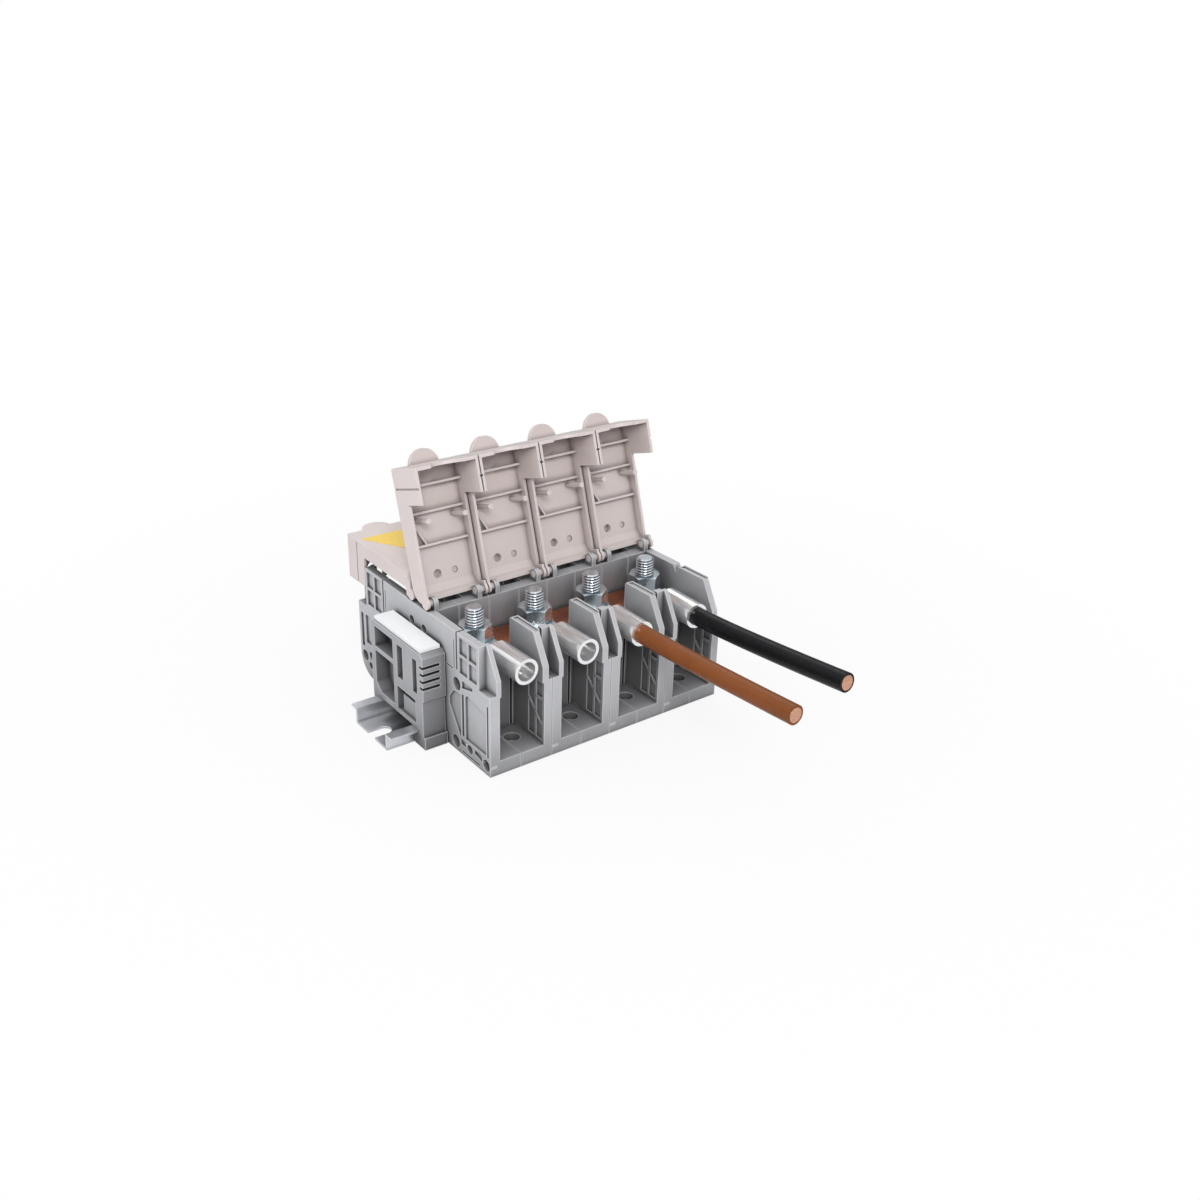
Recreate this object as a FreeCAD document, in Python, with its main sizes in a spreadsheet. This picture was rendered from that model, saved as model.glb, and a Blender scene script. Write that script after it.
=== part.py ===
"""Stud terminal blocks on a top-hat mounting rail, as one parametric document.

Millimetres. X runs along the rail, -Y is the wire side, +Z is up.
The origin lies on the underside of the rail, midway along the four blocks.
"""

import math
import os
import re

import FreeCAD, Part
import Sketcher

os.makedirs("parts", exist_ok=True)
doc = FreeCAD.newDocument("TerminalBlocks")
sheet = doc.addObject("Spreadsheet::Sheet", "Sizes")

# Each driving dimension: its name, its value and what it measures.
SIZES = [
    ("pitch", 30.0, "distance from one block to the next"),
    ("block_gap", 0.2, "air between two blocks"),
    ("seam_gap", 0.2, "air between the two half shells of a block"),
    ("half_length", 54.5, "half of a block's length, front to back"),
    ("floor_height", 6.3, "top of the floor of a wire bay"),
    ("bay_wall_left", 4.8, "left wall of a wire bay"),
    ("bay_wall_right", 3.8, "right wall of a wire bay"),
    ("bay_back", 33.3, "centre line to the back wall of a wire bay"),
    ("shoulder", 36.0, "top of the thick lower walls"),
    ("deck", 33.6, "floor that carries the conductor bar"),
    ("slant_foot", 42.0, "height where the sloping front edge starts"),
    ("slant_run", 7.0, "depth of the sloping front edge"),
    ("wall_top", 55.0, "top of the partitions"),
    ("tower_half", 8.7, "half depth of the centre tower"),
    ("tower_top", 54.6, "top of the centre tower"),
    ("plate", 3.4, "side plate of a left half shell"),
    ("plate_end", 46.7, "centre line to the front end of the side plate"),
    ("slot_at", 29.7, "centre line to the slot beside the break-out"),
    ("slot_width", 1.2, "slot beside the break-out"),
    ("front_web", 2.1, "sloping front wall of a left half shell"),
    ("front_web_overlap", 1.4, "length shared by that wall and the side plate"),
    ("right_wall", 2.9, "sloping front wall of a right half shell"),
    ("right_inset", 1.7, "outer recess of that wall"),
    ("right_band", 0.8, "extra width of the right wall behind its front part"),
    ("window_depth", 1.2, "recess of the break-out windows"),
    ("relief", 1.1, "recesses in the outside of a left half shell"),
    ("relief_hole", 3.4, "depth of the blind holes in the outside of a left half shell"),
    ("bay_relief", 0.9, "recesses in the right wall of a wire bay"),
    ("groove_line", 0.7, "narrow grooves in a left half shell"),
    ("groove_inset", 1.0, "slot beside the break-out to the groove behind it"),
    ("rear_round", 11.0, "rounded lower rear corner of a left half shell"),
    ("window_rib", 1.2, "ribs between the windows"),
    ("window_border", 1.5, "border round the windows"),
    ("breakout_height", 42.6, "edge that a broken-out wall leaves"),
    ("stop_at", 44.0, "centre line to the end of a broken-out side plate"),
    ("bed_width", 20.0, "width of the conductor bar"),
    ("bed_thick", 3.0, "thickness of the conductor bar"),
    ("bed_half", 32.0, "half length of the conductor bar"),
    ("stud_y", 20.5, "centre line to the studs"),
    ("stud_radius", 4.0, "stud"),
    ("stud_top", 58.4, "tip of the studs"),
    ("stud_tip", 0.9, "chamfer at the tip of a stud"),
    ("head_across", 13.0, "stud head, across its flats"),
    ("head_thick", 5.0, "stud head"),
    ("head_room", 0.3, "air round a stud head"),
    ("bar_room", 0.1, "air round the conductor bar in its tunnel"),
    ("hole_room", 0.25, "air round a stud in a bar or a lug"),
    ("nut_across", 13.0, "nut, across its flats"),
    ("nut_thick", 7.0, "nut"),
    ("nut_chamfer", 0.9, "bevel on the corners of a nut"),
    ("thread_room", 0.05, "air between a stud and its nut"),
    ("washer_radius", 8.0, "washer"),
    ("washer_thick", 1.4, "washer"),
    ("jumper_thick", 3.2, "cross connection bar"),
    ("jumper_width", 20.0, "cross connection bar"),
    ("jumper_over", 8.0, "bar beyond its outer studs"),
    ("palm_thick", 2.6, "flat end of a cable lug"),
    ("palm_radius", 7.8, "rounded end of a cable lug"),
    ("barrel_radius", 5.5, "barrel of a cable lug, outside"),
    ("barrel_bore", 4.1, "barrel of a cable lug, inside"),
    ("barrel_z", 44.4, "axis of the lug barrels"),
    ("barrel_start", 38.0, "centre line to the start of the barrel"),
    ("barrel_mouth", 57.2, "centre line to the mouth of the barrel"),
    ("barrel_depth", 17.0, "depth of the bore"),
    ("taper_start", 31.2, "centre line to the flat end of the lug's taper"),
    ("rail_width", 35.0, "mounting rail over its flanges"),
    ("rail_height", 7.5, "mounting rail"),
    ("rail_channel", 27.0, "channel of the mounting rail"),
    ("rail_sheet", 1.0, "sheet of the mounting rail"),
    ("rail_left", 24.2, "rail beyond the first block"),
    ("rail_right", 6.0, "rail beyond the last block"),
    ("rail_slot_width", 6.2, "slots of the rail"),
    ("rail_slot_length", 15.0, "slots of the rail"),
    ("rail_slot_pitch", 25.0, "slots of the rail"),
    ("rail_cut", 9.3, "cut end of the rail to the end of its first slot"),
    ("rail_room", 0.15, "air between the rail and what sits on it"),
    ("hook_tip", 13.9, "centre line to the tip of a rail hook"),
    ("bracket_width", 10.8, "end bracket"),
    ("bracket_gap", 0.3, "air between the bracket and the first block"),
    ("bracket_half", 22.0, "half depth of the end bracket"),
    ("bracket_top", 43.6, "top of the end bracket"),
    ("bracket_wall", 1.6, "walls of the end bracket"),
    ("bracket_web", 4.2, "closed web of the end bracket"),
    ("strip_width", 9.4, "marker strip"),
    ("strip_half", 19.4, "half length of the marker strip"),
    ("strip_thick", 1.6, "marker strip"),
    ("hinge_y", 6.0, "centre line to a cover's hinge axis"),
    ("hinge_z", 57.4, "height of the hinge axes"),
    ("cover_rise", 8.3, "hinge axis to the outer face of a cover"),
    ("cover_length", 56.4, "hinge axis to the end of a cover"),
    ("cover_side_gap", 0.3, "air beside a cover"),
    ("cover_skin", 1.8, "plate of a cover"),
    ("cheek", 1.2, "side walls of a cover"),
    ("cheek_depth", 9.9, "depth of the side walls"),
    ("cover_bend", 6.5, "rounding at the hinge end"),
    ("box_start", 41.3, "hinge axis to the deep part of a cover"),
    ("cross_rib", 47.3, "hinge axis to the rib before the hood"),
    ("cross_rib_depth", 6.0, "depth of that rib"),
    ("cover_wall", 1.4, "end wall of a cover"),
    ("hood_depth", 20.5, "depth of the hood"),
    ("low_cheek_depth", 6.4, "depth of the side wall that is cut lower"),
    ("low_cheek_start", 3.4, "hinge axis to the start of that cut"),
    ("peg_radius", 1.1, "snap pegs"),
    ("peg_at", 33.6, "hinge axis to the snap pegs"),
    ("peg_depth", 13.2, "depth of the snap pegs"),
    ("peg_room", 0.4, "air between a snap peg and the wall beside it"),
    ("brace_thick", 0.8, "slanting rib beside one peg"),
    ("rib_near", 22.3, "hinge axis to the first cross rib"),
    ("rib_far", 36.0, "hinge axis to the second cross rib"),
    ("rib_thick", 1.0, "ribs of a cover"),
    ("rib_depth", 4.2, "depth of the ribs"),
    ("arch_radius", 7.3, "arch that passes a lug barrel"),
    ("tab_radius", 7.0, "finger tab"),
    ("tab_thick", 2.0, "finger tab"),
    ("tab_reach", 6.0, "finger tab beyond the end of a cover"),
    ("pin_radius", 1.5, "hinge pins"),
    ("pin_room", 0.08, "air round a hinge pin"),
    ("boss_radius", 2.6, "cover round its hinge pin"),
    ("ear_radius", 2.5, "hinge ear"),
    ("ear_start", 3.4, "block's side to a hinge ear"),
    ("ear_thick", 2.0, "hinge ear"),
    ("test_hole", 1.9, "radius of the test hole in a cover"),
    ("test_hole_u", 9.9, "hinge axis to the test hole"),
    ("label_thick", 0.2, "label on a cover"),
    ("label_base", 46.9, "hinge axis to the wide end of a label"),
    ("label_length", 21.0, "label"),
    ("label_half", 12.6, "half width of a label"),
    ("open_angle", 107.0, "how far the front covers stand open"),
    ("cable_radius", 4.0, "cable over its insulation"),
    ("core_radius", 2.9, "bare conductor"),
    ("cable_entry", 5.0, "insulation inside the barrel"),
]

BLOCKS = 4

# Recesses in the outside of a left half shell, near its front end.
# Each corner is (distance from the end, height).
FRONT_RECESSES = [
    [(3, 8.6), (18.3, 8.6), (18.3, 27.8), (16.8, 29.6), (3, 27.6)],
    [(1.2, 8.2), (2.3, 8.2), (2.3, 31.6), (1.2, 31.6)],
    [(19.3, 9), (20.9, 9), (20.9, 28.6), (19.3, 28.6)],
    [(21.8, 9), (22.6, 8), (30.6, 19.6), (30.6, 23), (27, 27.6), (21.8, 28)],
    [(12.6, 33.2), (20.6, 31.2), (20.6, 34.4), (19.8, 34.8), (12.6, 34.8)],
    [(5.8, 4), (11.6, 5.2), (11.6, 7.2), (6.4, 7.2)],
    [(18.4, 4.6), (21.8, 4.6), (22.6, 7), (18.4, 7.4)],
    [(7.6, 1.2), (21, 1.2), (21, 2.1), (7.6, 2.1)],
]
# Blind holes beside them: ((distance from the end, height), radius).
FRONT_HOLES = [((24.5, 31.6), 2.9), ((25.8, 4.1), 2.9), ((15.2, 5.2), 2.1), ((3, 4.1), 2.6)]
# The same near the rear end.
REAR_RECESSES = [
    [(4.2, 14), (1.6, 14), (1.6, 31), (4.2, 31)],
    [(6, 17), (21, 17), (21, 28), (19, 31.4), (6, 31.4)],
    [(33, 9.6), (23, 9.6), (23, 29), (33, 29)],
]
REAR_HOLES = [((4.2, 9.6), 2.7), ((10, 11.6), 1.9), ((9, 6.2), 1.7), ((24, 32), 2.6)]
# Slanting rib beside a peg: (distance from the cover's side, from the hinge axis) of its ends.
BRACE = [(5, 29), (8, 23)]
# Two eyes high in the middle of a left half shell: ((along, height), radius).
PLATE_EYES = [((5.3, 46), 2.1), ((-4.7, 45.6), 2.1)]
# Cells of the lattice in the right wall of a wire bay, front end first:
# distances from the end, lower edge at each of them, upper edge at each of them.
BAY_CELLS = [
    ((1.4, 5.6), (8, 8), (14, 17.4)),
    ((1.4, 5.6), (15.4, 18.8), (26, 26)),
    ((1.4, 5.6), (27.2, 27.2), (34, 34)),
    ((6.8, 11), (8, 8), (19, 23)),
    ((6.8, 11), (20.4, 24.4), (34, 34)),
]
WORDS = {name for name, _, _ in SIZES}

for row, (name, value, meaning) in enumerate(SIZES, start=1):
    sheet.set(f"A{row}", name)
    sheet.set(f"B{row}", str(value))
    sheet.set(f"C{row}", meaning)
    sheet.setAlias(f"B{row}", name)
doc.recompute()


def bound(text):
    """The expression with every size's name led back to the sheet."""
    def lead(match):
        word = match.group(0)
        return f"Sizes.{word}" if word in WORDS else word
    return re.sub(r"[a-z_]+", lead, str(text))


def value(text):
    """The number that an expression has now."""
    return float(sheet.evalExpression(bound(text)))


def new_body(name):
    body = doc.addObject("PartDesign::Body", name)
    body.Label = name
    return body


def origin_plane(body, role):
    return next(item for item in body.Origin.OriginFeatures if item.Role == role)


def new_sketch(body, plane, offset):
    sketch = body.newObject("Sketcher::SketchObject", f"{body.Name}_outline")
    sketch.AttachmentSupport = [(origin_plane(body, plane), "")]
    sketch.MapMode = "FlatFace"
    sketch.setExpression("AttachmentOffset.Base.z", bound(offset))
    return sketch


def pin_down(sketch, geometry, point, place):
    """Hold one point of a sketch at two expressions, counted from its origin."""
    for kind, text in zip(("DistanceX", "DistanceY"), place):
        if text is None:
            continue
        constraint = Sketcher.Constraint(kind, -1, 1, geometry, point, value(text))
        index = sketch.addConstraint(constraint)
        sketch.setExpression(f"Constraints[{index}]", bound(text))


def add_loop(sketch, corners):
    """A closed outline through corners given as pairs of expressions."""
    spots = [FreeCAD.Vector(value(x), value(y), 0) for x, y in corners]
    first = sketch.GeometryCount
    for here, there in zip(spots, spots[1:] + spots[:1]):
        sketch.addGeometry(Part.LineSegment(here, there), False)
    for number, corner in enumerate(corners):
        following = first + (number + 1) % len(corners)
        sketch.addConstraint(Sketcher.Constraint("Coincident", first + number, 2, following, 1))
        pin_down(sketch, first + number, 1, corner)


def add_circle(sketch, centre, radius):
    spot = FreeCAD.Vector(value(centre[0]), value(centre[1]), 0)
    circle = Part.Circle(spot, FreeCAD.Vector(0, 0, 1), value(radius))
    index = sketch.addGeometry(circle, False)
    pin_down(sketch, index, 3, centre)
    constraint = sketch.addConstraint(Sketcher.Constraint("Radius", index, value(radius)))
    sketch.setExpression(f"Constraints[{constraint}]", bound(radius))


def draw(body, plane, start, shapes):
    """A sketch of loops (lists of corners) and circles (centre, radius)."""
    sketch = new_sketch(body, plane, start)
    for shape in shapes:
        if isinstance(shape, list):
            add_loop(sketch, shape)
        else:
            add_circle(sketch, *shape)
    return sketch


def pad(body, plane, start, end, *shapes):
    """Add the shapes from start to end along the plane's own normal."""
    feature = body.newObject("PartDesign::Pad", f"{body.Name}_pad")
    feature.Profile = draw(body, plane, start, shapes)
    feature.setExpression("Length", bound(f"({end}) - ({start})"))
    return feature


def cut(body, plane, start, end, *shapes):
    """Take the shapes away from start to end along the plane's own normal."""
    feature = body.newObject("PartDesign::Pocket", f"{body.Name}_pocket")
    feature.Profile = draw(body, plane, start, shapes)
    feature.Reversed = True
    feature.setExpression("Length", bound(f"({end}) - ({start})"))
    return feature


def round_off(body, start, end, rim, radius):
    """Round the lower corner of a section at y = rim: what lies outside the arc goes."""
    sketch = new_sketch(body, "YZ_Plane", start)
    reach = value(radius)
    low = (value(rim) - reach, 0)
    high = (value(rim), reach)
    centre = FreeCAD.Vector(low[0], reach, 0)
    circle = Part.Circle(centre, FreeCAD.Vector(0, 0, 1), reach)
    arc = sketch.addGeometry(Part.ArcOfCircle(circle, -math.pi / 2, 0), False)
    pin_down(sketch, arc, 3, (f"{rim} - {radius}", radius))
    limit = sketch.addConstraint(Sketcher.Constraint("Radius", arc, reach))
    sketch.setExpression(f"Constraints[{limit}]", bound(radius))
    sketch.addConstraint(Sketcher.Constraint("Vertical", arc, 1, arc, 3))
    sketch.addConstraint(Sketcher.Constraint("Horizontal", arc, 2, arc, 3))
    far = [(f"{rim} + 1", radius), (f"{rim} + 1", "-1"), (f"{rim} - {radius}", "-1")]
    spots = [high] + [(value(y), value(z)) for y, z in far] + [low]
    lines = []
    for here, there in zip(spots, spots[1:]):
        segment = Part.LineSegment(FreeCAD.Vector(*here, 0), FreeCAD.Vector(*there, 0))
        lines.append(sketch.addGeometry(segment, False))
    for before, after in zip(lines, lines[1:]):
        sketch.addConstraint(Sketcher.Constraint("Coincident", before, 2, after, 1))
    sketch.addConstraint(Sketcher.Constraint("Coincident", arc, 2, lines[0], 1))
    sketch.addConstraint(Sketcher.Constraint("Coincident", lines[-1], 2, arc, 1))
    for line, spot in zip(lines[1:], far):
        pin_down(sketch, line, 1, spot)
    feature = body.newObject("PartDesign::Pocket", f"{body.Name}_corner")
    feature.Profile = sketch
    feature.Reversed = True
    feature.setExpression("Length", bound(f"({end}) - ({start})"))
    return feature


def mirror(body, plane):
    """Repeat the whole body on the other side of one of its planes."""
    doc.recompute()
    feature = body.newObject("PartDesign::Mirrored", f"{body.Name}_mirror")
    feature.MirrorPlane = (origin_plane(body, plane), [""])
    feature.TransformMode = "Whole shape"
    body.Tip = feature
    return feature


def dress(body, kind, size, wanted):
    """Fillet or chamfer the edges of the body that wanted() picks."""
    doc.recompute()
    base = body.Tip
    names = [
        f"Edge{number}"
        for number, edge in enumerate(base.Shape.Edges, start=1)
        if wanted(edge.BoundBox)
    ]
    feature = body.newObject(f"PartDesign::{kind}", f"{body.Name}_{kind.lower()}")
    feature.Base = (base, names)
    feature.setExpression("Radius" if kind == "Fillet" else "Size", bound(size))
    return feature


def box(low_x, low_y, high_x, high_y):
    """The four corners of a rectangle."""
    return [(low_x, low_y), (high_x, low_y), (high_x, high_y), (low_x, high_y)]


def hexagon(centre_x, centre_y, across):
    """Six corners with two flats square to X."""
    corner = f"({across}) / 2 / cos(30)"
    turns = [30, 90, 150, 210, 270, 330]
    return [
        (f"({centre_x}) + {corner} * cos({turn})", f"({centre_y}) + {corner} * sin({turn})")
        for turn in turns
    ]


def place(body, x, y="0", z="0"):
    """Bind a sub-part's place to the sheet."""
    for axis, text in zip("xyz", (x, y, z)):
        body.setExpression(f"Placement.Base.{axis}", bound(text))


def copy_of(master, name, x, turned=False):
    """One more piece from the same mould, moved along the rail."""
    body = new_body(name)
    body.BaseFeature = master
    if turned:
        body.Placement.Rotation = FreeCAD.Rotation(FreeCAD.Vector(0, 0, 1), 180)
    place(body, x)
    return body


# Places that several pieces share.
LEFT = "block_gap / 2"
RIGHT = "(pitch - block_gap / 2)"
SEAM_LEFT = "(pitch / 2 - seam_gap / 2)"
SEAM_RIGHT = "(pitch / 2 + seam_gap / 2)"
RAIL_SEAT = "(rail_height + rail_room)"
RAIL_SIDE = "(rail_width / 2 + 2 * rail_room)"
HOOK_TOP = "(rail_height - rail_sheet - 2 * rail_room)"
BAR_TOP = "(deck + bed_thick)"
JUMPER_TOP = "(deck + bed_thick + jumper_thick)"
PALM_TOP = "(deck + bed_thick + jumper_thick + palm_thick)"
NUT_FOOT = "(deck + bed_thick + jumper_thick + palm_thick + washer_thick)"
COVER_TOP = "(hinge_z + cover_rise)"
MIDDLE = "pitch / 2"
pieces = []


def block_x(number):
    """The left side of a block, counted from 0."""
    return f"({number} - {BLOCKS} / 2) * pitch"


def half_shell_outline():
    """Front half of the section that both half shells share, rail hook and all."""
    return [
        ("-half_length", "0"),
        ("-hook_tip", "0"),
        ("-hook_tip", HOOK_TOP),
        (f"-{RAIL_SIDE}", HOOK_TOP),
        (f"-{RAIL_SIDE}", RAIL_SEAT),
        ("0", RAIL_SEAT),
        ("0", "deck"),
        ("-bay_back", "deck"),
        ("-bay_back", "floor_height"),
        ("-half_length", "floor_height"),
    ]


def tower_outline():
    return box("-tower_half", "deck", "0", "tower_top")


def ear(body, start, end):
    """A hinge ear on top of the tower, with its pin hole."""
    hub = ("-hinge_y", "hinge_z")
    foot = box("-hinge_y - ear_radius", "tower_top - 1", "-hinge_y + ear_radius", "hinge_z")
    pad(body, "YZ_Plane", start, end, foot)
    pad(body, "YZ_Plane", start, end, (hub, "ear_radius"))
    cut(body, "YZ_Plane", f"{start} - 0.5", f"{end} + 0.5", (hub, "pin_radius + pin_room"))


def head_pocket(body, start, end):
    """Half of the pocket that keeps a stud's head from turning."""
    room = "head_across / 2 + head_room"
    tall = "deck - head_thick - head_room"
    pocket = box(f"-stud_y - ({room}) / cos(30)", tall, f"-stud_y + ({room}) / cos(30)", "deck + 1")
    cut(body, "YZ_Plane", start, end, pocket)


def latch_slot(body, start, end):
    """Half of the slot in the top of the tower."""
    slot = box("-3.4", "tower_top - 3", "1", "tower_top + 1")
    cut(body, "YZ_Plane", start, end, slot)


def from_end(rim, way, points):
    """Places along a half shell, counted inwards from one of its ends."""
    return [(f"{rim} {way} {along}", height) for along, height in points]


def end_relief(body, rim, way, recesses, holes):
    """Weight-saving recesses and blind holes in the outside, near one end."""
    outlines = [from_end(rim, way, corners) for corners in recesses]
    cut(body, "YZ_Plane", "0", "relief", *outlines)
    rounds = [(from_end(rim, way, [centre])[0], radius) for centre, radius in holes]
    cut(body, "YZ_Plane", "0", "relief_hole", *rounds)


def plate_relief(body):
    """The L-shaped groove round each bare plate and two eyes in the tower's side."""
    near = "slot_at - groove_inset"
    low = "shoulder + 2"
    high = "wall_top - 4"
    foot = "shoulder + 1.2"
    lines = [
        box(f"-({near})", low, f"-({near}) + groove_line", high),
        box(f"-({near}) + groove_line + 0.4", foot, "-tower_half - 3", f"{foot} + groove_line"),
        box(f"{near} - groove_line", low, near, high),
    ]
    cut(body, "YZ_Plane", "0", "groove_line + block_gap / 2", *lines)
    cut(body, "YZ_Plane", "0", "relief_hole", *PLATE_EYES)


def bay_lattice(body):
    """Ribbed cells in the right wall of a wire bay."""
    inner = f"{RIGHT} - bay_wall_right"
    cells = []
    for (out, back), (low_out, low_back), (high_out, high_back) in BAY_CELLS:
        corners = [(out, low_out), (back, low_back), (back, high_back), (out, high_out)]
        cells.append(from_end("-half_length", "+", corners))
    cut(body, "YZ_Plane", f"{inner} - 0.5", f"{inner} + bay_relief", *cells)


def bar_tunnel(body, start, end):
    """Half of the tunnel that leads the conductor bar through the tower."""
    tunnel = box("-tower_half - 1", "deck", "1", f"{BAR_TOP} + bar_room")
    cut(body, "YZ_Plane", start, end, tunnel)


def left_shell(name, open_for_bar):
    """Left half shell: side plate with break-out windows, front wall, half of the tower."""
    body = new_body(name)
    pad(body, "YZ_Plane", LEFT, SEAM_LEFT, half_shell_outline())
    lower = [
        ("-half_length", "floor_height - 1"),
        ("0", RAIL_SEAT + " + 1"),
        ("0", "shoulder"),
        ("-half_length", "shoulder"),
    ]
    pad(body, "YZ_Plane", LEFT, "bay_wall_left", lower)
    pad(body, "YZ_Plane", LEFT, SEAM_LEFT, tower_outline())
    slant = [
        ("-half_length", "shoulder - 1"),
        ("-half_length", "slant_foot"),
        ("-half_length + slant_run", "wall_top"),
        ("-plate_end + front_web_overlap", "wall_top"),
        ("-plate_end + front_web_overlap", "shoulder - 1"),
    ]
    pad(body, "YZ_Plane", "plate", "plate + front_web", slant)
    plate = [
        ("-plate_end", "shoulder - 1"),
        ("0", "shoulder - 1"),
        ("0", "tower_top"),
        ("-tower_half", "tower_top"),
        ("-tower_half", "wall_top"),
        ("-plate_end", "wall_top"),
    ]
    pad(body, "YZ_Plane", LEFT, "plate + 0.1", plate)
    inner = "plate_end - window_border"
    outer = "slot_at + slot_width + window_border"
    middle = f"(({inner}) + ({outer})) / 2"
    low = "shoulder + window_border"
    high = "wall_top - window_border"
    centre = f"(({low}) + ({high})) / 2"
    windows = []
    for y_from, y_to in ((inner, f"{middle} + window_rib / 2"), (f"{middle} - window_rib / 2", outer)):
        for z_from, z_to in ((low, f"{centre} - window_rib / 2"), (f"{centre} + window_rib / 2", high)):
            windows.append(box(f"-({y_from})", z_from, f"-({y_to})", z_to))
    cut(body, "YZ_Plane", "0", "window_depth", *windows)
    slot = box("-slot_at - slot_width", "shoulder + 2", "-slot_at", "wall_top + 1")
    cut(body, "YZ_Plane", "0", "plate + 0.2", slot)
    ear(body, "ear_start", "ear_start + ear_thick")
    latch_slot(body, "pitch / 3", "pitch / 2")
    head_pocket(body, "pitch / 2 - head_across / 2 - head_room", "pitch / 2")
    bar_tunnel(body, "pitch / 2 - bed_width / 2 - bar_room", "pitch / 2")
    mirror(body, "XZ_Plane")
    round_off(body, LEFT + " - 1", SEAM_LEFT + " + 1", "half_length", "rear_round")
    end_relief(body, "-half_length", "+", FRONT_RECESSES, FRONT_HOLES)
    end_relief(body, "half_length", "-", REAR_RECESSES, REAR_HOLES)
    plate_relief(body)
    if open_for_bar:
        gone = [
            ("-stop_at", "wall_top + 1"),
            ("-stop_at", "breakout_height"),
            ("-slot_at - slot_width", "breakout_height"),
            ("-slot_at - slot_width", "shoulder"),
            ("-tower_half", "shoulder"),
            ("-tower_half", "wall_top + 1"),
        ]
        cut(body, "YZ_Plane", "0", "plate + 0.2", gone)
    return body


def right_shell(name, open_for_bar):
    """Right half shell: sloping partition with a grooved top, half of the tower."""
    body = new_body(name)
    inner = f"{RIGHT} - right_inset - right_wall"
    outer = f"{RIGHT} - right_inset"
    pad(body, "YZ_Plane", SEAM_RIGHT, RIGHT, half_shell_outline())
    lower = [
        ("-half_length", "floor_height - 1"),
        ("0", RAIL_SEAT + " + 1"),
        ("0", "shoulder"),
        ("-half_length", "shoulder"),
    ]
    pad(body, "YZ_Plane", f"{RIGHT} - bay_wall_right", RIGHT, lower)
    pad(body, "YZ_Plane", SEAM_RIGHT, RIGHT, tower_outline())
    slant = [
        ("-half_length", "shoulder - 1"),
        ("-half_length", "slant_foot"),
        ("-half_length + slant_run", "wall_top"),
        ("-tower_half", "wall_top"),
        ("-tower_half", "tower_top"),
        ("0", "tower_top"),
        ("0", "shoulder - 1"),
    ]
    pad(body, "YZ_Plane", inner, outer, slant)
    band = box("-plate_end", "shoulder - 1", "-tower_half", "wall_top")
    pad(body, "YZ_Plane", outer, f"{outer} + right_band", band)
    groove = box(f"{inner} + 0.7", "-half_length", f"{outer} + right_band - 0.7",
                 "-slot_at - 2 * slot_width")
    cut(body, "XY_Plane", "wall_top - 0.6", "wall_top + 1", groove)
    notch = [
        ("-slot_at - 2 * slot_width", "wall_top + 1"),
        ("-slot_at", "wall_top - 3"),
        ("-slot_at + 2 * slot_width", "wall_top + 1"),
    ]
    cut(body, "YZ_Plane", f"{inner} - 1", f"{RIGHT} + 1", notch)
    slit = box(f"{RIGHT} - bay_wall_right - 2 * slot_width", "-bay_back - 1",
               f"{RIGHT} - bay_wall_right - slot_width", "-bay_back + 2 * slot_width")
    cut(body, "XY_Plane", "floor_height", "deck - 1", slit)
    bay_lattice(body)
    hole = (f"{MIDDLE} + 3.8", "-42")
    cut(body, "XY_Plane", "floor_height - 3", "floor_height + 1", (hole, "3.4"))
    cut(body, "XY_Plane", "-1", "floor_height", (hole, "1.8"))
    ear(body, "pitch - ear_start - ear_thick", "pitch - ear_start")
    latch_slot(body, "pitch / 2", "pitch * 2 / 3")
    head_pocket(body, "pitch / 2", "pitch / 2 + head_across / 2 + head_room")
    bar_tunnel(body, "pitch / 2", "pitch / 2 + bed_width / 2 + bar_room")
    mirror(body, "XZ_Plane")
    if open_for_bar:
        gone = box("-slot_at - slot_width", "shoulder", "-tower_half", "wall_top + 1")
        cut(body, "YZ_Plane", f"{inner} - 1", f"{RIGHT} + 1", gone)
    return body


def build_shells():
    """Two half shells a block. Only the outermost walls of the row are unbroken."""
    moulds = {
        ("left", False): left_shell("shell_left_1", False),
        ("left", True): left_shell("shell_left_2", True),
        ("right", True): right_shell("shell_right_1", True),
        ("right", False): right_shell(f"shell_right_{BLOCKS}", False),
    }
    homes = {"shell_left_1": 0, "shell_left_2": 1, "shell_right_1": 0, f"shell_right_{BLOCKS}": BLOCKS - 1}
    for number in range(BLOCKS):
        for side in ("left", "right"):
            whole = number == (0 if side == "left" else BLOCKS - 1)
            mould = moulds[side, not whole]
            name = f"shell_{side}_{number + 1}"
            if mould.Label == name:
                pieces.append(mould)
            else:
                pieces.append(copy_of(mould, name, block_x(number)))
    for mould in moulds.values():
        place(mould, block_x(homes[mould.Label]))


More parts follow.
